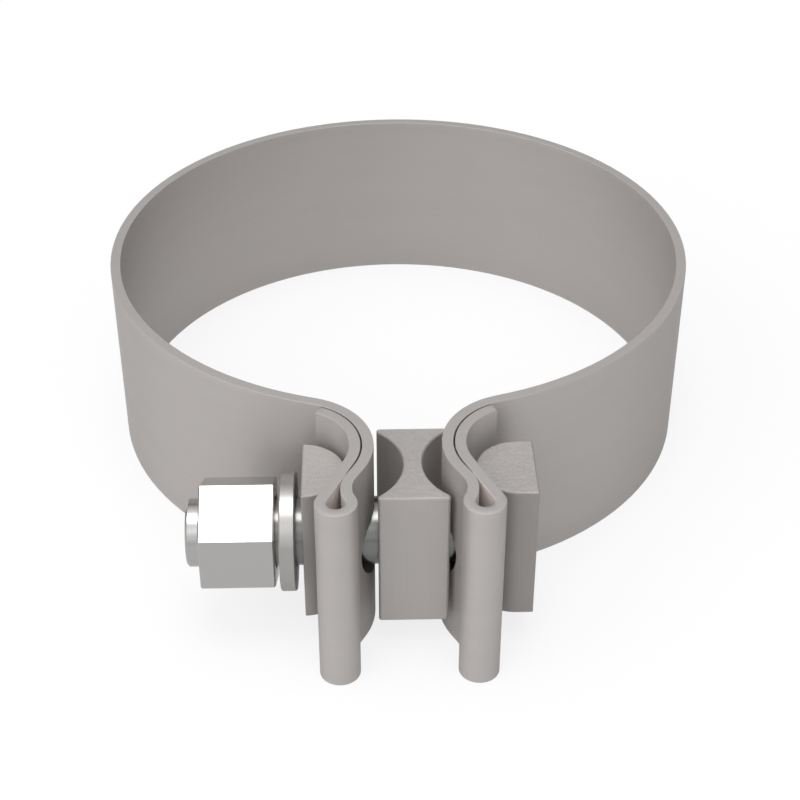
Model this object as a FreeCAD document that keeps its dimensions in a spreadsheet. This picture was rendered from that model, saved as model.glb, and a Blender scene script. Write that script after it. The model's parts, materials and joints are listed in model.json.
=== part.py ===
import FreeCAD, Part
import Sketcher
import enum
import math
import os

# Band clamp for a 3 1/2 inch exhaust pipe, in millimetres.
# The pipe's axis is +Z and z = 0 is the band's mid height. The folded ears and the bolt lie toward -Y,
# and the nut is at the bolt's -X end.

os.makedirs("parts", exist_ok=True)

# Driving sizes, each written once

SIZES = [
    # pipe and band, one folded strip
    ("pipe_radius", 44.45),
    ("band_thickness", 1.55),
    ("band_width", 30.0),
    # bolt, and what slides on it
    ("bolt_diameter", 9.525),
    ("bar_clearance", 0.15),
    ("washer_clearance", 0.2),
    ("nut_clearance", 0.05),
    ("ear_hole_clearance", 0.79),
    ("ear_hole_stretch", 0.8),
    ("bolt_stub", 2.0),
    ("bolt_end_chamfer", 0.3),
    ("bolt_flare", 0.6),
    # bars that press the ears
    ("bar_wall", 0.99),
    ("bar_height", 21.6),
    ("head_bar_extra", 2.35),
    ("nut_bar_gap", 0.65),
    ("head_bar_gap", 1.38),
    # ears, folded round the bars with room to spare until the bolt is drawn up
    ("bar_slack", 2.33),
    ("layer_gap", 0.22),
    ("ear_half_gap", 4.62),
    ("ear_closing", 4.5),
    ("neck_radius", 4.4),
    ("loop_hole_radius", 1.3),
    ("loop_offset", 5.03),
    ("loop_reach", 4.3),
    ("return_end_angle", 25.5),
    # spacer between the ears
    ("spacer_overlap", 0.255),
    ("spacer_waist", 2.65),
    ("spacer_height", 21.9),
    ("spacer_lip", 0.8),
    ("spacer_pipe_gap", 0.15),
    ("spacer_ear_gap", 0.79),
    ("spacer_corner_radius", 0.4),
    # washer and nut
    ("washer_rim", 3.4),
    ("washer_thickness", 2.23),
    ("washer_gap", 0.99),
    ("nut_wall", 2.38),
    ("nut_length", 10.36),
    ("nut_gap", 0.65),
    # broken edges
    ("block_edge_chamfer", 0.2),
    ("turned_edge_chamfer", 0.2),
    ("nut_bore_chamfer", 0.5),
]

doc = FreeCAD.newDocument("exhaust_clamp")
sheet = doc.addObject("Spreadsheet::Sheet", "sizes")
for row, (alias, value) in enumerate(SIZES, start=1):
    sheet.set(f"A{row}", alias)
    sheet.set(f"B{row}", str(value))
    sheet.setAlias(f"B{row}", alias)
doc.recompute()

# Sizes that follow from the driving ones: the bolt sets the bars, the bars set the ears' arcs

BOLT_RADIUS = "(sizes.bolt_diameter / 2)"
SLIDING_HOLE_RADIUS = f"({BOLT_RADIUS} + sizes.bar_clearance)"
BAR_RADIUS = f"({SLIDING_HOLE_RADIUS} + sizes.bar_wall)"
RETURN_RADIUS = f"({BAR_RADIUS} + sizes.bar_slack)"
EAR_RADIUS = f"({RETURN_RADIUS} + sizes.layer_gap + 2 * sizes.band_thickness)"
EAR_X = f"(sizes.ear_half_gap + {EAR_RADIUS})"

# The ear's arc touches the pipe's circle from outside, and the bolt passes through that arc's centre.

AXIS_Y = f"(-sqrt((sizes.pipe_radius + {EAR_RADIUS})^2 - {EAR_X}^2))"

# The slot in each ear that the bolt passes through, longer toward the loop

EAR_HOLE_RADIUS = f"({BOLT_RADIUS} + sizes.ear_hole_clearance)"
EAR_HOLE_FRONT = f"({AXIS_Y} - sizes.ear_hole_stretch)"

# The loop at the ear's tip, and the directions of the two straights that lead to it

LOOP_RADIUS = "(sizes.loop_hole_radius + sizes.band_thickness)"
LOOP_X = "(sizes.ear_half_gap + sizes.loop_offset)"
LOOP_DROP = f"({RETURN_RADIUS} + sizes.loop_reach)"
EAR_TO_LOOP = f"sqrt(({EAR_X} - {LOOP_X})^2 + {LOOP_DROP}^2)"
RETURN_SLANT = (f"(asin(({RETURN_RADIUS} + {LOOP_RADIUS}) / {EAR_TO_LOOP})"
                f" - atan(({EAR_X} - {LOOP_X}) / {LOOP_DROP}))")
EAR_SLANT = f"({RETURN_SLANT} + sizes.ear_closing * 1 deg)"

# Places along the bolt, from the ears outward

EAR_SEAT_X = "(sizes.ear_half_gap + 2 * sizes.band_thickness + sizes.layer_gap)"
NUT_BAR_X = f"(-{EAR_SEAT_X} - sizes.nut_bar_gap - {BAR_RADIUS})"
HEAD_BAR_X = f"({EAR_SEAT_X} + sizes.head_bar_gap + {BAR_RADIUS})"
WASHER_X = f"({NUT_BAR_X} - sizes.washer_gap - sizes.washer_thickness)"
NUT_X = f"({WASHER_X} - sizes.nut_gap - sizes.nut_length)"
BOLT_X = f"({NUT_X} - sizes.bolt_stub)"
BOLT_LENGTH = f"({HEAD_BAR_X} + sizes.head_bar_extra - {BOLT_X})"

# The washer and nut are sized outward from their bores

WASHER_BORE_RADIUS = f"({BOLT_RADIUS} + sizes.washer_clearance)"
WASHER_RADIUS = f"({WASHER_BORE_RADIUS} + sizes.washer_rim)"
NUT_BORE_RADIUS = f"({BOLT_RADIUS} + sizes.nut_clearance)"
NUT_CORNER_RADIUS = f"(({BOLT_RADIUS} + sizes.nut_wall) * 2 / sqrt(3))"

# The spacer reaches a little past the ears' noses, and each hollow fits an ear wrapped round its bar.
# From back to front it is a lip, the hollows' chord and a second lip.

SPACER_HALF_WIDTH = "(sizes.ear_half_gap + sizes.spacer_overlap)"
SPACER_BACK = f"(-{AXIS_Y} - sizes.pipe_radius - sizes.spacer_pipe_gap)"
HOLLOW_RADIUS = f"({BAR_RADIUS} + 2 * sizes.band_thickness)"
HOLLOW_X = f"(sizes.spacer_waist / 2 + {HOLLOW_RADIUS})"
HALF_CHORD = f"sqrt({HOLLOW_RADIUS}^2 - ({HOLLOW_X} - {SPACER_HALF_WIDTH})^2)"
HOLLOW_Y = f"({SPACER_BACK} - sizes.spacer_lip - {HALF_CHORD})"
FRONT_LIP_Y = f"({HOLLOW_Y} - {HALF_CHORD})"
SPACER_FRONT = f"({FRONT_LIP_Y} - sizes.spacer_lip)"

# At rest its front lip stands off the right-hand ear by a gap measured along the bolt

EAR_SIDE_X = f"({EAR_X} - sqrt({EAR_RADIUS}^2 - {FRONT_LIP_Y}^2))"
SPACER_X = f"({EAR_SIDE_X} - sizes.spacer_ear_gap - {SPACER_HALF_WIDTH})"

RIGHT, LEFT = 1, -1
QUARTER_TURN = math.pi / 2
PRECISION = 1e-6


class Vertex(enum.IntEnum):
    """A sketch's numbers for the points of a line or an arc."""
    START = enum.auto()
    END = enum.auto()
    CENTRE = enum.auto()


START, END, CENTRE = Vertex
ORIGIN = (-1, START)


# Small tools for sketches and bodies

def value_of(expression):
    """The number that an expression of the sheet's cells gives: millimetres, or degrees for an angle."""
    result = sheet.evalExpression(expression)
    return float(getattr(result, "Value", result))


def vector(x, y):
    return FreeCAD.Vector(x, y, 0)


def line(start, end):
    return Part.LineSegment(vector(*start), vector(*end))


def circle(centre, radius):
    return Part.Circle(vector(*centre), FreeCAD.Vector(0, 0, 1), radius)


def arc(centre, radius, start, end):
    """An arc drawn counter-clockwise between two angles in radians."""
    return Part.ArcOfCircle(circle(centre, radius), start, end)


def heading(origin, target):
    return math.atan2(target[1] - origin[1], target[0] - origin[0])


def step(origin, direction, length):
    return (origin[0] + length * math.cos(direction), origin[1] + length * math.sin(direction))


def relate(sketch, kind, *items):
    sketch.addConstraint(Sketcher.Constraint(kind, *items))


def size(sketch, kind, *items, to):
    """Adds a dimension to a sketch and binds it to an expression."""
    index = sketch.addConstraint(Sketcher.Constraint(kind, *items, value_of(to)))
    sketch.setExpression(f"Constraints[{index}]", to)


def locate(sketch, geometry, vertex, x=None, y=None, origin=ORIGIN):
    """Places a point of a sketch by its signed distances from another point."""
    for kind, distance in (("DistanceX", x), ("DistanceY", y)):
        if distance is None:
            continue
        if value_of(distance) < 0:
            size(sketch, kind, geometry, vertex, *origin, to=f"-({distance})")
        else:
            size(sketch, kind, *origin, geometry, vertex, to=distance)


def new_body(name, x):
    """A body whose own origin lies on the bolt's axis at the given X."""
    body = doc.addObject("PartDesign::Body", name)
    body.Label = name
    body.setExpression("Placement.Base.x", x)
    body.setExpression("Placement.Base.y", AXIS_Y)
    return body


def new_sketch(body, role, name):
    sketch = body.newObject("Sketcher::SketchObject", name)
    plane = next(item for item in body.Origin.OriginFeatures if item.Role == role)
    sketch.AttachmentSupport = [(plane, "")]
    sketch.MapMode = "FlatFace"
    return sketch


def join_in_ring(sketch, pieces):
    """Joins the end of each piece of an outline to the start of the next, and the last to the first."""
    for piece, following in zip(pieces, pieces[1:] + pieces[:1]):
        relate(sketch, "Coincident", piece, END, following, START)


def pad(body, sketch, name, length, symmetric=False):
    feature = body.newObject("PartDesign::Pad", name)
    feature.Profile = sketch
    feature.setExpression("Length", length)
    if symmetric:
        feature.SideType = "Symmetric"
    doc.recompute()
    return feature


def bore_along_bolt(body, radius):
    """Cuts a round hole along the bolt's axis through the whole body."""
    before = body.Shape.Volume
    sketch = new_sketch(body, "YZ_Plane", body.Label + "_bore_circle")
    hole = sketch.addGeometry(circle((0, 0), value_of(radius)))
    relate(sketch, "Coincident", hole, CENTRE, *ORIGIN)
    size(sketch, "Radius", hole, to=radius)
    pocket = body.newObject("PartDesign::Pocket", body.Label + "_bore")
    pocket.Profile = sketch
    pocket.SideType = "Symmetric"
    pocket.Type = "ThroughAll"
    doc.recompute()
    if not body.Shape.Volume < before:
        raise RuntimeError(f"{body.Label}: the bore removed nothing")


def edges_where(shape, test):
    return [f"Edge{number}" for number, edge in enumerate(shape.Edges, start=1) if test(edge)]


def dress(body, kind, name, amount, test):
    """Rounds or bevels the edges of the body's last feature that pass a test."""
    base = body.Tip
    feature = body.newObject("PartDesign::" + kind, name)
    feature.Base = (base, edges_where(base.Shape, test))
    feature.setExpression("Radius" if kind == "Fillet" else "Size", amount)
    doc.recompute()


def is_level(edge):
    """True for an edge that lies in one horizontal plane."""
    return edge.BoundBox.ZLength < PRECISION


def is_upright(edge):
    return max(edge.BoundBox.XLength, edge.BoundBox.YLength) < PRECISION


def is_across_bolt(edge):
    """True for an edge that lies in one plane square to the bolt."""
    return edge.BoundBox.XLength < PRECISION


def is_ring_across_bolt(edge, radius):
    """True for a circle round the bolt's axis of the given radius."""
    return is_across_bolt(edge) and abs(edge.BoundBox.ZLength - 2 * value_of(radius)) < PRECISION


# Band: one strip that runs round the pipe, out along each ear, round a loop and back inside the ear

def ear_path():
    """The right-hand ear's pieces, from the ring to the strip's end.

    Each is a piece of geometry with the vertex nearer the ring and the vertex nearer the strip's end.
    The sketch line is the strip's pipe side, so the strip lies on its other side throughout.
    """
    ear = (value_of(EAR_X), value_of(AXIS_Y))
    loop = (value_of(LOOP_X), ear[1] - value_of(LOOP_DROP))
    ear_radius = value_of(EAR_RADIUS)
    neck_radius = value_of("sizes.neck_radius")
    loop_radius = value_of(LOOP_RADIUS)
    return_radius = value_of(RETURN_RADIUS)
    slant = math.radians(value_of(EAR_SLANT))
    return_slant = math.radians(value_of(RETURN_SLANT))
    end_angle = math.radians(value_of("sizes.return_end_angle"))

    # The straight after the ear's arc runs away from the ring at the slant.
    outward = math.pi + slant
    along = slant - QUARTER_TURN
    ear_end = step(ear, outward, ear_radius)

    # The neck's circle touches that straight and the loop's circle.
    level_with_ear_end = step(ear_end, outward, neck_radius)
    back = (level_with_ear_end[0] - loop[0], level_with_ear_end[1] - loop[1])
    half_sum = back[0] * math.cos(along) + back[1] * math.sin(along)
    product = back[0] ** 2 + back[1] ** 2 - (neck_radius + loop_radius) ** 2
    straight = -half_sum - math.sqrt(half_sum ** 2 - product)
    neck = step(level_with_ear_end, along, straight)
    neck_start = step(ear_end, along, straight)

    # The return's straight crosses between the loop's circle and the return's arc and touches both.
    inward = math.pi + return_slant
    loop_end = step(loop, return_slant, loop_radius)
    return_start = step(ear, inward, return_radius)

    return [
        (arc(ear, ear_radius, heading(ear, (0, 0)), outward), START, END),
        (line(ear_end, neck_start), START, END),
        (arc(neck, neck_radius, heading(neck, loop), heading(neck, neck_start)), END, START),
        (arc(loop, loop_radius, heading(loop, neck), return_slant + 2 * math.pi), START, END),
        (line(loop_end, return_start), START, END),
        (arc(ear, return_radius, QUARTER_TURN + end_angle, inward), END, START),
    ]


def mirrored(piece):
    """The same piece on the other side of the YZ plane."""
    geometry, near, far = piece
    if isinstance(geometry, Part.LineSegment):
        start, end = geometry.StartPoint, geometry.EndPoint
        return line((-start.x, start.y), (-end.x, end.y)), near, far
    centre = (-geometry.Center.x, geometry.Center.y)
    swapped = arc(centre, geometry.Radius, math.pi - geometry.LastParameter, math.pi - geometry.FirstParameter)
    return swapped, far, near


def draw_ear(sketch, ring, ring_vertex, side):
    """Adds one ear to the band's path and dimensions it."""
    pieces = ear_path() if side == RIGHT else [mirrored(piece) for piece in ear_path()]
    previous, previous_vertex = ring, ring_vertex
    numbers = []
    for geometry, near, far in pieces:
        number = sketch.addGeometry(geometry)
        relate(sketch, "Tangent", previous, previous_vertex, number, near)
        previous, previous_vertex = number, far
        numbers.append(number)
    ear, slanted, neck, loop, _, inner = numbers
    size(sketch, "Radius", ear, to=EAR_RADIUS)
    size(sketch, "Radius", neck, to="sizes.neck_radius")
    size(sketch, "Radius", loop, to=LOOP_RADIUS)
    size(sketch, "Radius", inner, to=RETURN_RADIUS)
    relate(sketch, "Coincident", inner, CENTRE, ear, CENTRE)
    locate(sketch, ear, CENTRE, x=f"{side} * {EAR_X}")
    locate(sketch, loop, CENTRE, x=f"{side} * {LOOP_X}")
    centre = (ear, CENTRE)
    locate(sketch, loop, CENTRE, y=f"-{LOOP_DROP}", origin=centre)
    locate(sketch, slanted, START, y=f"-{EAR_RADIUS} * sin({EAR_SLANT})", origin=centre)
    end_rise = f"{RETURN_RADIUS} * cos(sizes.return_end_angle * 1 deg)"
    locate(sketch, inner, previous_vertex, y=end_rise, origin=centre)


def extrude(name, profile, direction, length):
    """Extrudes a closed outline to both sides of its plane."""
    bar = doc.addObject("Part::Extrusion", name)
    bar.Base = profile
    bar.DirMode = "Custom"
    bar.Dir = direction
    bar.Solid = True
    bar.Symmetric = True
    bar.setExpression("LengthFwd", length)
    return bar


def make_ear_punch():
    """The round-ended bar along the bolt that cuts the slots in both ears."""
    outline = doc.addObject("Sketcher::SketchObject", "ear_hole_outline")
    outline.Placement.Rotation = FreeCAD.Rotation(FreeCAD.Vector(1, 1, 1), 120)
    radius, rear, front = value_of(EAR_HOLE_RADIUS), value_of(AXIS_Y), value_of(EAR_HOLE_FRONT)
    pieces = [outline.addGeometry(piece) for piece in (
        arc((rear, 0), radius, -QUARTER_TURN, QUARTER_TURN),
        line((rear, radius), (front, radius)),
        arc((front, 0), radius, QUARTER_TURN, 3 * QUARTER_TURN),
        line((front, -radius), (rear, -radius)))]
    for piece, following in zip(pieces, pieces[1:] + pieces[:1]):
        relate(outline, "Tangent", piece, END, following, START)
    rear_end, front_end = pieces[0], pieces[2]
    size(outline, "Radius", rear_end, to=EAR_HOLE_RADIUS)
    relate(outline, "Equal", rear_end, front_end)
    for end, place in ((rear_end, AXIS_Y), (front_end, EAR_HOLE_FRONT)):
        relate(outline, "Horizontal", *ORIGIN, end, CENTRE)
        locate(outline, end, CENTRE, x=place)
    return extrude("ear_punch", outline, FreeCAD.Vector(1, 0, 0), f"2 * {EAR_X}")


def make_band():
    path = doc.addObject("Sketcher::SketchObject", "band_path")
    right_end = heading((0, 0), (value_of(EAR_X), value_of(AXIS_Y)))
    ring = path.addGeometry(arc((0, 0), value_of("sizes.pipe_radius"), right_end, math.pi - right_end))
    relate(path, "Coincident", ring, CENTRE, *ORIGIN)
    size(path, "Radius", ring, to="sizes.pipe_radius")
    draw_ear(path, ring, START, RIGHT)
    draw_ear(path, ring, END, LEFT)
    doc.recompute()

    strip = doc.addObject("Part::Offset2D", "band_strip")
    strip.Source = path
    strip.Mode = "Skin"
    strip.Join = "Arc"
    strip.Fill = True
    strip.setExpression("Value", "sizes.band_thickness")

    band = doc.addObject("Part::Cut", "band")
    band.Label = "band"
    band.Base = extrude("band_rolled", strip, FreeCAD.Vector(0, 0, 1), "sizes.band_width")
    band.Tool = make_ear_punch()
    doc.recompute()
    return band


# Bars: a half-round one on the nut's side and a deeper one that holds the bolt's end

def make_bar(name, x, nose_side, extra=None):
    """A bar with a round nose toward the ear, its arc centred on the body's origin."""
    body = new_body(name, x)
    outline = new_sketch(body, "XY_Plane", name + "_outline")
    radius = value_of(BAR_RADIUS)
    nose_start = -QUARTER_TURN if nose_side == RIGHT else QUARTER_TURN
    nose = outline.addGeometry(arc((0, 0), radius, nose_start, nose_start + math.pi))
    relate(outline, "Coincident", nose, CENTRE, *ORIGIN)
    size(outline, "Radius", nose, to=BAR_RADIUS)
    corners = [(0, nose_side * radius), (0, -nose_side * radius)]
    if extra:
        flat = -nose_side * value_of(extra)
        corners[1:1] = [(flat, nose_side * radius), (flat, -nose_side * radius)]
    sides = [outline.addGeometry(line(start, end)) for start, end in zip(corners, corners[1:])]
    join_in_ring(outline, [nose] + sides)
    relate(outline, "Vertical", *ORIGIN, sides[0], START)
    relate(outline, "Vertical", *ORIGIN, sides[-1], END)
    if extra:
        relate(outline, "Horizontal", sides[0])
        relate(outline, "Vertical", sides[1])
        relate(outline, "Horizontal", sides[2])
        locate(outline, sides[1], START, x=f"{-nose_side} * {extra}")
    pad(body, outline, name + "_bar", "sizes.bar_height", symmetric=True)
    dress(body, "Chamfer", name + "_edges", "sizes.block_edge_chamfer", is_level)
    return body


def make_nut_side_block():
    body = make_bar("nut_side_block", NUT_BAR_X, RIGHT)
    bore_along_bolt(body, SLIDING_HOLE_RADIUS)
    return body


def make_head_side_block():
    body = make_bar("head_side_block", HEAD_BAR_X, LEFT, extra="sizes.head_bar_extra")
    bore_along_bolt(body, BOLT_RADIUS)
    flat = value_of("sizes.head_bar_extra")

    def is_outer_mouth(edge):
        return is_ring_across_bolt(edge, BOLT_RADIUS) and abs(edge.BoundBox.XMin - flat) < PRECISION

    dress(body, "Chamfer", "head_side_block_countersink", "sizes.bolt_flare", is_outer_mouth)
    return body


# Spacer: a waisted block whose two hollows face the ears

def make_spacer_block():
    body = new_body("spacer_block", SPACER_X)
    outline = new_sketch(body, "XY_Plane", "spacer_outline")
    radius, centre_x, centre_y = value_of(HOLLOW_RADIUS), value_of(HOLLOW_X), value_of(HOLLOW_Y)
    half_width, back, front = value_of(SPACER_HALF_WIDTH), value_of(SPACER_BACK), value_of(SPACER_FRONT)
    half_chord = value_of(HALF_CHORD)
    opening = math.atan2(half_chord, centre_x - half_width)
    high, low = centre_y + half_chord, centre_y - half_chord

    # The outline runs clockwise from the back's left corner, the hollows counter to it.
    back_edge = outline.addGeometry(line((-half_width, back), (half_width, back)))
    right_back = outline.addGeometry(line((half_width, back), (half_width, high)))
    right_hollow = outline.addGeometry(
        arc((centre_x, centre_y), radius, math.pi - opening, math.pi + opening))
    right_front = outline.addGeometry(line((half_width, low), (half_width, front)))
    front_edge = outline.addGeometry(line((half_width, front), (-half_width, front)))
    left_front = outline.addGeometry(line((-half_width, front), (-half_width, low)))
    left_hollow = outline.addGeometry(arc((-centre_x, centre_y), radius, -opening, opening))
    left_back = outline.addGeometry(line((-half_width, high), (-half_width, back)))
    join_in_ring(outline, [back_edge, right_back, right_hollow, right_front,
                           front_edge, left_front, left_hollow, left_back])
    for edge in (back_edge, front_edge):
        relate(outline, "Horizontal", edge)
    for edge, side in ((right_back, RIGHT), (right_front, RIGHT), (left_front, LEFT), (left_back, LEFT)):
        relate(outline, "Vertical", edge)
        locate(outline, edge, START, x=f"{side} * {SPACER_HALF_WIDTH}")
    for hollow, side in ((right_hollow, RIGHT), (left_hollow, LEFT)):
        size(outline, "Radius", hollow, to=HOLLOW_RADIUS)
        locate(outline, hollow, CENTRE, x=f"{side} * {HOLLOW_X}", y=HOLLOW_Y)
    locate(outline, back_edge, START, y=SPACER_BACK)
    locate(outline, front_edge, START, y=SPACER_FRONT)
    pad(body, outline, "spacer_pad", "sizes.spacer_height", symmetric=True)

    def is_outer_corner(edge):
        y = edge.BoundBox.YMin
        at_end = min(abs(y - back), abs(y - front)) < PRECISION
        return is_upright(edge) and at_end

    dress(body, "Fillet", "spacer_corners", "sizes.spacer_corner_radius", is_outer_corner)
    dress(body, "Chamfer", "spacer_edges", "sizes.block_edge_chamfer", is_level)
    bore_along_bolt(body, SLIDING_HOLE_RADIUS)
    return body


# Bolt: a plain shank, bevelled at its free end and flared where it is held flush in the head-side block

def make_bolt():
    body = new_body("bolt", BOLT_X)
    profile = new_sketch(body, "XY_Plane", "bolt_profile")
    radius, length = value_of(BOLT_RADIUS), value_of(BOLT_LENGTH)
    chamfer, flare = value_of("sizes.bolt_end_chamfer"), value_of("sizes.bolt_flare")
    corners = [(0, 0), (0, radius - chamfer), (chamfer, radius), (length - flare, radius),
               (length, radius + flare), (length, 0)]
    free_end, bevel, shank, flared, held_end, axis = [
        profile.addGeometry(line(start, end)) for start, end in zip(corners, corners[1:] + corners[:1])]
    join_in_ring(profile, [free_end, bevel, shank, flared, held_end, axis])
    relate(profile, "Coincident", free_end, START, *ORIGIN)
    relate(profile, "Vertical", free_end)
    relate(profile, "Horizontal", shank)
    relate(profile, "Vertical", held_end)
    relate(profile, "Horizontal", axis)
    locate(profile, shank, START, x="sizes.bolt_end_chamfer", y=BOLT_RADIUS)
    locate(profile, bevel, START, y=f"{BOLT_RADIUS} - sizes.bolt_end_chamfer")
    locate(profile, held_end, START, x=BOLT_LENGTH, y=f"{BOLT_RADIUS} + sizes.bolt_flare")
    locate(profile, shank, END, x=f"{BOLT_LENGTH} - sizes.bolt_flare")
    turned = body.newObject("PartDesign::Revolution", "bolt_turned")
    turned.Profile = profile
    turned.ReferenceAxis = (profile, ["H_Axis"])
    turned.Angle = 360
    doc.recompute()
    return body


# Washer and nut

def make_washer():
    body = new_body("washer", WASHER_X)
    rings = new_sketch(body, "YZ_Plane", "washer_rings")
    for radius in (WASHER_RADIUS, WASHER_BORE_RADIUS):
        ring = rings.addGeometry(circle((0, 0), value_of(radius)))
        relate(rings, "Coincident", ring, CENTRE, *ORIGIN)
        size(rings, "Radius", ring, to=radius)
    pad(body, rings, "washer_disc", "sizes.washer_thickness")
    dress(body, "Chamfer", "washer_edges", "sizes.turned_edge_chamfer",
          lambda edge: is_ring_across_bolt(edge, WASHER_RADIUS))
    return body


def make_nut():
    body = new_body("nut", NUT_X)
    hexagon = new_sketch(body, "YZ_Plane", "nut_hexagon")
    radius = value_of(NUT_CORNER_RADIUS)
    sixth = math.pi / 3
    corners = [step((0, 0), QUARTER_TURN + number * sixth, radius) for number in range(6)]
    sides = [hexagon.addGeometry(line(start, end)) for start, end in zip(corners, corners[1:] + corners[:1])]
    join_in_ring(hexagon, sides)
    around = hexagon.addGeometry(circle((0, 0), radius), True)
    relate(hexagon, "Coincident", around, CENTRE, *ORIGIN)
    size(hexagon, "Radius", around, to=NUT_CORNER_RADIUS)
    for side in sides:
        relate(hexagon, "PointOnObject", side, START, around)
    for side in sides[1:]:
        relate(hexagon, "Equal", sides[0], side)
    relate(hexagon, "Vertical", *ORIGIN, sides[0], START)
    pad(body, hexagon, "nut_prism", "sizes.nut_length")
    dress(body, "Chamfer", "nut_edges", "sizes.turned_edge_chamfer", is_across_bolt)
    bore_along_bolt(body, NUT_BORE_RADIUS)
    dress(body, "Chamfer", "nut_mouths", "sizes.nut_bore_chamfer",
          lambda edge: is_ring_across_bolt(edge, NUT_BORE_RADIUS))
    return body


clamp = [
    make_band(),
    make_spacer_block(),
    make_nut_side_block(),
    make_head_side_block(),
    make_bolt(),
    make_washer(),
    make_nut(),
]
doc.recompute()

for item in doc.Objects:
    if {"Invalid", "Error"} & set(item.State):
        raise RuntimeError(f"{item.Name} failed: {item.State}")
for node in clamp:
    if node.Shape.isNull() or not node.Shape.isValid() or len(node.Shape.Solids) != 1:
        raise RuntimeError(f"{node.Label} is not one valid solid")
for node in clamp:
    node.Shape.exportStep(f"parts/{node.Label}.step")
    box = node.Shape.optimalBoundingBox()
    print(f"{node.Label}: {node.Shape.Volume:.1f} mm3, X {box.XMin:.2f} to {box.XMax:.2f}, "
          f"Y {box.YMin:.2f} to {box.YMax:.2f}, Z {box.ZMin:.2f} to {box.ZMax:.2f}")
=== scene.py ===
from collections import namedtuple
import json
import math

import bmesh
import bpy
from mathutils import Matrix, Vector

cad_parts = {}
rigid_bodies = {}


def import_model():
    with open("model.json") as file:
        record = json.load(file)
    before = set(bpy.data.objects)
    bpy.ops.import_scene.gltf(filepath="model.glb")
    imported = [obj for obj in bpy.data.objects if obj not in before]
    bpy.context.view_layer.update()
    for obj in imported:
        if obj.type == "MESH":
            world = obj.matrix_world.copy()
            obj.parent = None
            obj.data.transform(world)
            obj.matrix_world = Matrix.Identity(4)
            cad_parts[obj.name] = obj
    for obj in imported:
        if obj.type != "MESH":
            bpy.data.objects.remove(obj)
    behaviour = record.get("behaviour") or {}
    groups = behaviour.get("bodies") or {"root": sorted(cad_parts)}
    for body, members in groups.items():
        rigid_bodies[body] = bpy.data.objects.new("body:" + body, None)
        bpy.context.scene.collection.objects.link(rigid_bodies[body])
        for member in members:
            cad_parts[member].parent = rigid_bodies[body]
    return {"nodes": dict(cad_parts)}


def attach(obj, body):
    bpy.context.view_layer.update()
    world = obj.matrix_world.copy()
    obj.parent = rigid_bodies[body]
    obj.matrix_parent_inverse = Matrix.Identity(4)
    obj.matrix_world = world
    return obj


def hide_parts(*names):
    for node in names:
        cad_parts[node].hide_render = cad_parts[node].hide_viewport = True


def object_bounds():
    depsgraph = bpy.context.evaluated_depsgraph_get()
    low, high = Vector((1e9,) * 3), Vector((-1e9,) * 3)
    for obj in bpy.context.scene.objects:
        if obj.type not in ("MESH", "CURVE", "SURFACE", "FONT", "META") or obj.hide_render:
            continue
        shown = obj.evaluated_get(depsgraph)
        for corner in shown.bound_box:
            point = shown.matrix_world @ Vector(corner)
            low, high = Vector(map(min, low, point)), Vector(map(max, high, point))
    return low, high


for item in list(bpy.data.objects):
    bpy.data.objects.remove(item)
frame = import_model()
cad_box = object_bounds()

# Camera: its direction in degrees seen from the ring's centre, its place in metres, its sensor
# and lens in millimetres

CAMERA_AZIMUTH = -1.43
CAMERA_ELEVATION = 35.27
CAMERA_DISTANCE = 0.277413
CAMERA_RIGHT = 0.00028
CAMERA_UP = -0.01284
CAMERA_NEAR = 0.01
CAMERA_FAR = 20.0
SENSOR = 36.0
LENS = 74.94

# Floor: lifted toward white for the camera and toward pale grey in reflections, so that what is
# left of its own colour carries the object's shadow

FLOOR_HEIGHT = cad_box[0].z
FLOOR_SIZE = 20.0
FLOOR_COLOUR = (0.75, 0.75, 0.75, 1.0)
FLOOR_SEEN_LIFT = 0.8
FLOOR_MIRRORED_LIFT = 0.6
FLOOR_MIRRORED_GLOW = 0.65
WHITE = (1.0, 1.0, 1.0, 1.0)

# Soft panels of the studio's light: azimuth (0 is the camera's side, 90 its right), elevation and
# half width in degrees, and level

PANELS = (
    (0, 90, 40, 0.25),
    (0, 88, 20, 5.0),
    (0, 74, 28, 0.15),
    (0, 60, 35, 0.85),
    (0, 30, 35, 0.68),
    (0, 3, 32, 0.42),
    (45, 30, 35, 0.90),
    (45, 3, 32, 0.07),
    (90, 60, 35, 0.89),
    (90, 30, 35, 0.19),
    (135, 3, 32, 0.17),
    (180, 76, 28, 0.2),
    (180, 60, 35, 0.85),
    (180, 3, 32, 0.1),
    (-45, 30, 35, 2.01),
    (-45, 3, 32, 1.07),
    (-90, 60, 35, 1.01),
    (-90, 30, 35, 0.85),
    (-90, 3, 32, 0.37),
    (-135, 30, 35, 0.09),
    (-135, 3, 32, 0.27),
)

# Patterns of noise: grains to a metre along X, Y and Z, and what each adds to a surface's shade,
# roughness and relief. A finish is a surface's own shade and roughness, and its patterns.

Pattern = namedtuple("Pattern", "grains shade roughness relief")
Finish = namedtuple("Finish", "shade roughness patterns")

NOISE_DETAIL = 3.0
NOISE_ROUGHNESS = 0.6
NOISE_LOW = 0.25
NOISE_HIGH = 0.75

ROLLED_STREAKS = Pattern((90, 90, 3800), 0.025, 0.025, 0.12)
BROAD_STREAKS = Pattern((35, 35, 420), 0.015, 0, 0)
STRIP_CLOUDS = Pattern((70, 70, 70), 0.015, 0.02, 0)
SHEARED_SPECKLE = Pattern((4200, 4200, 4200), 0.05, 0.04, 1)
STRIP_FACES = Finish(1.0, 0.48, (ROLLED_STREAKS, BROAD_STREAKS, STRIP_CLOUDS))
STRIP_EDGES = Finish(0.94, 0.5, (SHEARED_SPECKLE,))

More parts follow.
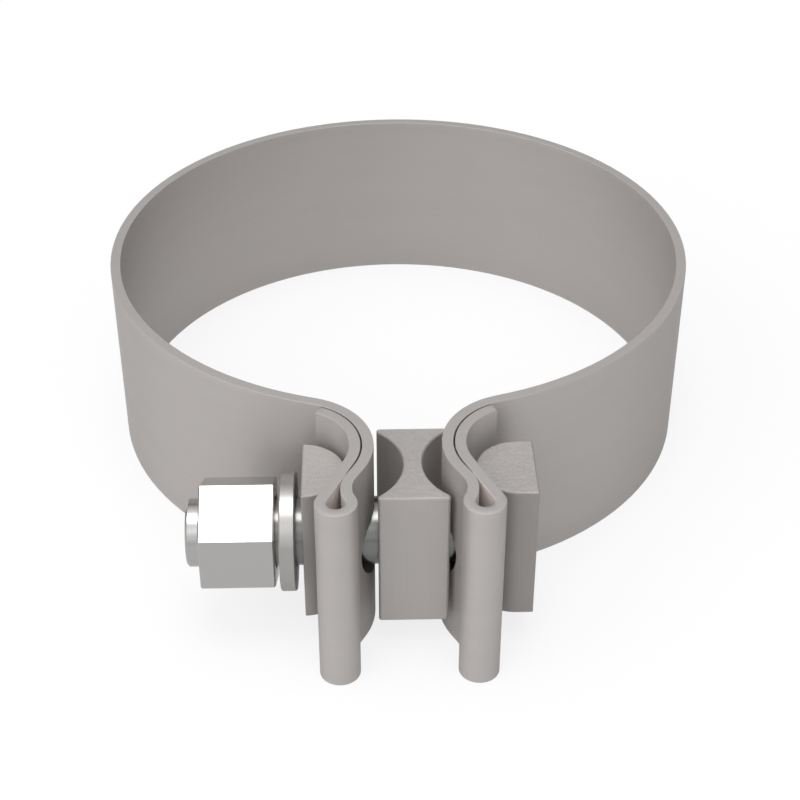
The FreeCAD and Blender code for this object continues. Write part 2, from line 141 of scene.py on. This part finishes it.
DRAWN_LINES = Pattern((2600, 2600, 70), 0.02, 0, 0.1)
BLOCK_CLOUDS = Pattern((160, 160, 90), 0.02, 0.03, 0)
SAWN_GRAIN = Pattern((3300, 3300, 3300), 0.08, 0.04, 1)
SAWN_PITS = Pattern((1500, 1500, 1500), 0.07, 0, 1.3)
# One drawn steel: painted shade darkens the bars' sides and painted light lightens the spacer's
SPACER_SIDES_PAINTED_LIGHT = Finish(1.07, 0.48, (BLOCK_CLOUDS, DRAWN_LINES))
BAR_SIDES_PAINTED_SHADE = Finish(0.8, 0.48, (BLOCK_CLOUDS, DRAWN_LINES))
SAWN_ENDS = Finish(1.05, 0.52, (SAWN_PITS, SAWN_GRAIN))

TURNED_LINES = Pattern((6000, 6000, 0), 0.05, 0.05, 1)
TURNED_CLOUDS = Pattern((260, 260, 260), 0.015, 0.02, 0)
TURNED_MARKS = Pattern((900, 2200, 2200), 0, 0, 0.1)

# Metals: colours, how metallic they are, the tint of their glancing reflections, and the depth of
# their relief in metres

BAND_COLOUR = (0.4696, 0.444, 0.4313)
BAR_COLOUR = (0.423, 0.40, 0.3885)
BOLT_COLOUR = (0.485, 0.48, 0.475)
NUT_COLOUR = (0.505, 0.492, 0.482)
WASHER_COLOUR = (0.433, 0.42, 0.407)
SATIN_METALLIC = 0.6
SATIN_EDGE_TINT = (0.5, 0.5, 0.5, 1.0)
STRIP_DEPTH = 0.000006
BLOCK_DEPTH = 0.000014
TURNED_DEPTH = 0.0000025

# How far a surface faces up or down (0 upright, 1 level) where its side finish ends and its end
# finish is whole, and where an edge is rounded: near this slope, within these distances of it

STRIP_LEVELS = (0.55, 0.9)
BLOCK_LEVELS = (0.45, 0.85)
EDGE_SLOPE = 0.6
EDGE_SPREAD = (0.4, 0.25)
EDGE_ROUGHER = 0.2
# Painted shade: rounded edges are darkened, damping the highlight they catch
EDGE_PAINTED_SHADE = 0.9

# The strip's faces are rubbed near their edges: heights from its middle, and what they add

RUBBED_HEIGHTS = (0.0138, 0.0149)
RUBBED_SHADE = 0.03

# The hole of the folded loop at +X, seen from above: its round end, its neck, and the distances
# from the line between them that part its inner walls, brightened with painted light, from the
# outer ones

LOOP_CENTRE = (0.00965, -0.06614, 0.0)
LOOP_NECK = (0.0089, -0.0615, 0.0)
LOOP_WALLS = (0.00145, 0.00135)
# Painted light: the loops' inner walls are brightened this many times, as if more light reached
# into the holes
LOOP_PAINTED_LIGHT = 1.8

# The bolt's axis, and the stretch along it where painted shade darkens the shank between the parts

BOLT_AXIS = (0, -0.0536165, 0)
PAINTED_SHADE_STRETCH = (-0.026, -0.0185)
SHANK_PAINTED_SHADE = 0.45

# Rounded edges of the copies of the CAD nodes, in metres and degrees

WELD = 0.000001
FLAT_ANGLE = 0.5
SHARP_ANGLE = 30
STILL_SHARP_ANGLE = 50
LEVEL_FACE = 0.9
UPRIGHT_FACE = 0.1
ROUND_STEPS = 3
STRIP_ROUND = 0.00008
BLOCK_ROUND = 0.00007
NORMAL_WEIGHT = 100


def direction_of(azimuth, elevation):
    """A unit vector; azimuth 0 is the camera's side (-Y) and grows toward the right (+X)."""
    a, e = math.radians(azimuth), math.radians(elevation)
    return Vector((math.sin(a) * math.cos(e), -math.cos(a) * math.cos(e), math.sin(e)))


def shader_tree(owner):
    """Empties a material's or world's nodes and gives a function that adds nodes to it."""
    owner.use_nodes = True
    nodes, links = owner.node_tree.nodes, owner.node_tree.links
    nodes.clear()

    def add(kind, inputs, **settings):
        node = nodes.new(kind)
        for name, value in settings.items():
            setattr(node, name, value)
        for socket, value in inputs.items():
            if isinstance(value, bpy.types.NodeSocket):
                links.new(value, node.inputs[socket])
            else:
                node.inputs[socket].default_value = value
        return node

    return add


def maths(add, operation, *values):
    return add("ShaderNodeMath", dict(enumerate(values)), operation=operation).outputs[0]


def vector_maths(add, operation, *values):
    return add("ShaderNodeVectorMath", dict(enumerate(values)), operation=operation).outputs[0]


def measure(add, operation, *values):
    """A vector operation whose result is a number."""
    node = add("ShaderNodeVectorMath", dict(enumerate(values)), operation=operation)
    return node.outputs["Value"]


def resized(add, vector, size):
    inputs = {0: vector, "Scale": size}
    return add("ShaderNodeVectorMath", inputs, operation="SCALE").outputs[0]


def parts_of(add, vector):
    return add("ShaderNodeSeparateXYZ", {"Vector": vector}).outputs


def between(add, value, start, end):
    """0 before the start, 1 beyond the end, soft between; the start may be the higher one."""
    inputs = {"Value": value, "From Min": start, "From Max": end}
    return add("ShaderNodeMapRange", inputs, interpolation_type="SMOOTHSTEP").outputs[0]


def mixed_value(add, amount, first, second):
    inputs = {"Value": amount, "To Min": first, "To Max": second}
    return add("ShaderNodeMapRange", inputs).outputs[0]


def noise(add, place, grains):
    """Noise from -1 to 1, with so many grains to a metre along X, Y and Z."""
    texture = add("ShaderNodeTexNoise", {"Vector": vector_maths(add, "MULTIPLY", place, grains),
                                         "Scale": 1.0, "Detail": NOISE_DETAIL,
                                         "Roughness": NOISE_ROUGHNESS})
    inputs = {"Value": texture.outputs["Fac"], "From Min": NOISE_LOW, "From Max": NOISE_HIGH,
              "To Min": -1.0, "To Max": 1.0}
    return add("ShaderNodeMapRange", inputs).outputs[0]


def layered(add, place, patterns, *surface):
    """A surface's shade, roughness and relief, each with what the patterns add to it."""
    for pattern in patterns:
        texture = noise(add, place, pattern.grains)
        amounts = (pattern.shade, pattern.roughness, pattern.relief)
        surface = [maths(add, "MULTIPLY_ADD", texture, amount, value) if amount else value
                   for value, amount in zip(surface, amounts)]
    return surface


def make_camera():
    back = direction_of(CAMERA_AZIMUTH, CAMERA_ELEVATION)
    right = direction_of(CAMERA_AZIMUTH + 90, 0)
    up = back.cross(right)
    data = bpy.data.cameras.new("photo_camera")
    data.lens, data.sensor_width = LENS, SENSOR
    data.clip_start, data.clip_end = CAMERA_NEAR, CAMERA_FAR
    camera = bpy.data.objects.new("photo_camera", data)
    bpy.context.collection.objects.link(camera)
    place = back * CAMERA_DISTANCE + right * CAMERA_RIGHT + up * CAMERA_UP
    turned = Matrix((right, up, back)).transposed().to_4x4()
    camera.matrix_world = Matrix.Translation(place) @ turned
    bpy.context.scene.camera = camera


def make_world():
    """A dark studio lit by broad soft panels, brightest overhead and at the front left."""
    world = bpy.data.worlds.new("studio")
    bpy.context.scene.world = world
    add = shader_tree(world)
    direction = add("ShaderNodeTexCoord", {}).outputs["Generated"]
    total = 0.0
    for azimuth, elevation, half_width, level in PANELS:
        toward = measure(add, "DOT_PRODUCT", direction, direction_of(azimuth, elevation))
        glow = between(add, toward, math.cos(math.radians(half_width)), 1.0)
        total = maths(add, "MULTIPLY_ADD", glow, level, total)
    background = add("ShaderNodeBackground", {"Color": total})
    add("ShaderNodeOutputWorld", {"Surface": background.outputs[0]})


def make_floor():
    """A plain floor that the camera sees as white, with the object's soft shadow."""
    mesh = bpy.data.meshes.new("floor")
    half = FLOOR_SIZE / 2
    corners = [(x, y, FLOOR_HEIGHT)
               for x, y in ((-half, -half), (half, -half), (half, half), (-half, half))]
    mesh.from_pydata(corners, [], [(0, 1, 2, 3)])
    floor = bpy.data.objects.new("floor", mesh)
    bpy.context.collection.objects.link(floor)
    material = bpy.data.materials.new("floor_white")
    add = shader_tree(material)
    diffuse = add("ShaderNodeBsdfDiffuse", {"Color": FLOOR_COLOUR})
    ray = add("ShaderNodeLightPath", {}).outputs
    glow = mixed_value(add, ray["Is Camera Ray"], FLOOR_MIRRORED_GLOW, 1.0)
    white = add("ShaderNodeEmission", {"Color": WHITE, "Strength": glow})
    seen = maths(add, "MULTIPLY", ray["Is Camera Ray"], FLOOR_SEEN_LIFT)
    mirrored = maths(add, "MAXIMUM", ray["Is Glossy Ray"], ray["Is Transmission Ray"])
    mirrored = maths(add, "MULTIPLY", mirrored, FLOOR_MIRRORED_LIFT)
    lift = maths(add, "MAXIMUM", seen, mirrored)
    mixed = add("ShaderNodeMixShader", {0: lift, 1: diffuse.outputs[0], 2: white.outputs[0]})
    add("ShaderNodeOutputMaterial", {"Surface": mixed.outputs[0]})
    mesh.materials.append(material)


def finish_metal(add, colour, surface, depth, constants):
    """The metal's shader, from its colour and the surface's shade, roughness and relief."""
    shade, roughness, relief = surface
    bump = add("ShaderNodeBump", {"Height": relief, "Distance": depth, "Strength": 1.0})
    inputs = {"Base Color": resized(add, colour, shade), "Roughness": roughness,
              "Normal": bump.outputs[0], **constants}
    shader = add("ShaderNodeBsdfPrincipled", inputs)
    add("ShaderNodeOutputMaterial", {"Surface": shader.outputs[0]})


def inside_loops(add, place):
    """1 on the inner walls of the folded loops, 0 on the strip's other faces."""
    axes = parts_of(add, place)
    across = maths(add, "ABSOLUTE", axes["X"])
    flat = add("ShaderNodeCombineXYZ", {"X": across, "Y": axes["Y"]}).outputs[0]
    reach = Vector(LOOP_NECK) - Vector(LOOP_CENTRE)
    way = reach.normalized()
    from_centre = vector_maths(add, "SUBTRACT", flat, LOOP_CENTRE)
    along = measure(add, "DOT_PRODUCT", from_centre, way)
    along = maths(add, "MINIMUM", maths(add, "MAXIMUM", along, 0.0), reach.length)
    off_line = measure(add, "DISTANCE", from_centre, resized(add, way, along))
    return between(add, off_line, *LOOP_WALLS)


def strip_wear_and_painted_light(add, place, shade):
    """The shade of the strip's faces: raised where their edges are rubbed, and brightened inside
    the loops with painted light.
    """
    height = maths(add, "ABSOLUTE", parts_of(add, place)["Z"])
    rubbed = between(add, height, *RUBBED_HEIGHTS)
    shade = maths(add, "MULTIPLY_ADD", rubbed, RUBBED_SHADE, shade)
    # Painted light: the loops' inner walls are brightened, as if more light reached into the holes
    loops = mixed_value(add, inside_loops(add, place), 1.0, LOOP_PAINTED_LIGHT)
    return maths(add, "MULTIPLY", shade, loops)


def make_satin_steel(name, colour, sides, ends, levels, depth, wear_and_painted_light=None):
    """Dull steel with one finish on its upright sides and another on its level ends."""
    material = bpy.data.materials.new(name)
    add = shader_tree(material)
    coordinates = add("ShaderNodeTexCoord", {}).outputs
    place = coordinates["Object"]
    level = maths(add, "ABSOLUTE", parts_of(add, coordinates["Normal"])["Z"])
    from_slope = maths(add, "ABSOLUTE", maths(add, "SUBTRACT", level, EDGE_SLOPE))
    rounded = between(add, from_slope, *EDGE_SPREAD)
    on_sides = layered(add, place, sides.patterns, sides.shade, sides.roughness, 0.0)
    # The strip's rubbed edges are wear; its brighter loop insides are painted light
    if wear_and_painted_light:
        on_sides[0] = wear_and_painted_light(add, place, on_sides[0])
    on_ends = layered(add, place, ends.patterns, ends.shade, ends.roughness, 0.0)
    end_share = between(add, level, *levels)
    shade, roughness, relief = (mixed_value(add, end_share, side, end)
                                for side, end in zip(on_sides, on_ends))
    # Painted shade on the rounded edges, damping their highlight
    shade = maths(add, "MULTIPLY", shade, mixed_value(add, rounded, 1.0, EDGE_PAINTED_SHADE))
    roughness = maths(add, "MULTIPLY_ADD", rounded, EDGE_ROUGHER, roughness)
    finish_metal(add, colour, (shade, roughness, relief), depth,
                 {"Metallic": SATIN_METALLIC, "Specular Tint": SATIN_EDGE_TINT})
    return material


def make_turned_steel(name, colour, roughness, turning, painted_shank_shade):
    """Bright metal with fine turned lines round the bolt's axis, as deep as turning says.

    The last argument is the painted shade of the shank between the nut, washer and bars, or None.
    """
    material = bpy.data.materials.new(name)
    add = shader_tree(material)
    place = add("ShaderNodeTexCoord", {}).outputs["Object"]
    from_axis = vector_maths(add, "SUBTRACT", place, BOLT_AXIS)
    radius = measure(add, "LENGTH", vector_maths(add, "MULTIPLY", from_axis, (0, 1, 1)))
    along = parts_of(add, place)["X"]
    ring = add("ShaderNodeCombineXYZ", {"X": along, "Y": radius}).outputs[0]
    lines = Pattern(TURNED_LINES.grains, *(turning * amount for amount in TURNED_LINES[1:]))
    surface = layered(add, ring, (lines,), 1.0, roughness, 0.0)
    surface = layered(add, place, (TURNED_CLOUDS, TURNED_MARKS), *surface)
    # Painted shade: the shank beyond the nut's end is darkened, standing in for shade between the
    # parts
    if painted_shank_shade:
        painted_shade_on_shank = mixed_value(add, between(add, along, *PAINTED_SHADE_STRETCH), 1.0, painted_shank_shade)
        surface[0] = maths(add, "MULTIPLY", surface[0], painted_shade_on_shank)
    finish_metal(add, colour, surface, TURNED_DEPTH, {"Metallic": 1.0})
    return material


def soften(node, name, body, material, radius, level_edges_only=False):
    """Makes a copy of a CAD node with its sharp edges rounded, which stands for that node."""
    mesh = frame["nodes"][node].data.copy()
    mesh.name = name
    shape = bmesh.new()
    shape.from_mesh(mesh)
    bmesh.ops.remove_doubles(shape, verts=shape.verts, dist=WELD)
    bmesh.ops.dissolve_limit(shape, angle_limit=math.radians(FLAT_ANGLE), verts=shape.verts,
                             edges=shape.edges)
    chosen = []
    for edge in shape.edges:
        if len(edge.link_faces) != 2 or edge.calc_face_angle() < math.radians(SHARP_ANGLE):
            continue
        lower, higher = sorted(abs(face.normal.z) for face in edge.link_faces)
        if not level_edges_only or (higher > LEVEL_FACE and lower < UPRIGHT_FACE):
            chosen.append(edge)
    bmesh.ops.bevel(shape, geom=chosen, offset=radius, offset_type="OFFSET",
                    segments=ROUND_STEPS, profile=0.5, affect="EDGES", clamp_overlap=False)
    for face in shape.faces:
        face.smooth = True
    for edge in shape.edges:
        edge.smooth = (len(edge.link_faces) != 2
                       or edge.calc_face_angle() < math.radians(STILL_SHARP_ANGLE))
    bmesh.ops.triangulate(shape, faces=[face for face in shape.faces if len(face.verts) > 4])
    shape.to_mesh(mesh)
    shape.free()
    mesh.materials.clear()
    mesh.materials.append(material)
    piece = bpy.data.objects.new(name, mesh)
    bpy.context.collection.objects.link(piece)
    weighted = piece.modifiers.new("weighted", "WEIGHTED_NORMAL")
    weighted.keep_sharp = True
    weighted.weight = NORMAL_WEIGHT
    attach(piece, body)
    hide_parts(node)


make_camera()
make_world()
make_floor()

strip = make_satin_steel("band_steel", BAND_COLOUR, STRIP_FACES, STRIP_EDGES, STRIP_LEVELS,
                         STRIP_DEPTH, strip_wear_and_painted_light)
block = make_satin_steel("spacer_steel", BAR_COLOUR, SPACER_SIDES_PAINTED_LIGHT, SAWN_ENDS, BLOCK_LEVELS,
                         BLOCK_DEPTH)
bar = make_satin_steel("bar_steel", BAR_COLOUR, BAR_SIDES_PAINTED_SHADE, SAWN_ENDS, BLOCK_LEVELS, BLOCK_DEPTH)

# The fasteners keep their CAD shapes: node, material, colour, roughness, depth of the turned
# lines, and painted shade of the shank between the parts

for node, name, colour, roughness, turning, painted_shank_shade in (
        ("bolt", "bolt_steel", BOLT_COLOUR, 0.22, 0.5, SHANK_PAINTED_SHADE),
        ("washer", "washer_steel", WASHER_COLOUR, 0.3, 1.0, None),
        ("nut", "nut_steel", NUT_COLOUR, 0.18, 0.15, None)):
    material = make_turned_steel(name, colour, roughness, turning, painted_shank_shade)
    for slot in frame["nodes"][node].material_slots:
        slot.material = material

soften("band", "band_strip", "band", strip, STRIP_ROUND, level_edges_only=True)
soften("spacer_block", "spacer_waisted", "spacer", block, BLOCK_ROUND)
soften("nut_side_block", "nut_bar_half_round", "nut_bar", bar, BLOCK_ROUND)
soften("head_side_block", "head_bar_half_round", "clamp_bolt", bar, BLOCK_ROUND)

bpy.context.scene.view_settings.view_transform = "Standard"
